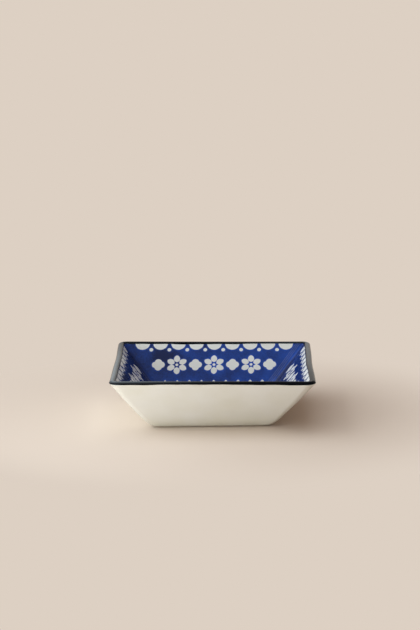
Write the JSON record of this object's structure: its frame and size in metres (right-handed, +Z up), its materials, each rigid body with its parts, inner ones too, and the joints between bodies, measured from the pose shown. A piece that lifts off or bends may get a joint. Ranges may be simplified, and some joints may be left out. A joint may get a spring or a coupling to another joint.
{
  "type": "soy sauce dish",
  "caption": "Small square sauce dish of glazed stoneware with flat sloping walls, a cobalt printed hollow with white motifs, a dark rounded lip and a bare foot ring.",
  "frame": {"origin": "on the table, under the middle of the square foot", "axes": "+Z up out of the open hollow, X and Y square to the walls, the front wall towards -Y"},
  "size_m": [0.09, 0.09, 0.0244],
  "materials": {
    "stoneware_clay": "bare fired clay, matt",
    "cream_glaze": "glossy",
    "white_glaze": "glossy",
    "navy_rim_glaze": "glossy",
    "cobalt_print": "glossy, under clear glaze"
  },
  "bodies": {
    "root": {"clay_body": "stoneware_clay", "outer_glaze": "cream_glaze", "base_glaze": "cream_glaze", "inner_glaze": "white_glaze", "rim_band": "navy_rim_glaze", "floor_print": "cobalt_print", "front_wall_print": "cobalt_print", "right_wall_print": "cobalt_print", "back_wall_print": "cobalt_print", "left_wall_print": "cobalt_print"}
  },
  "joints": []
}
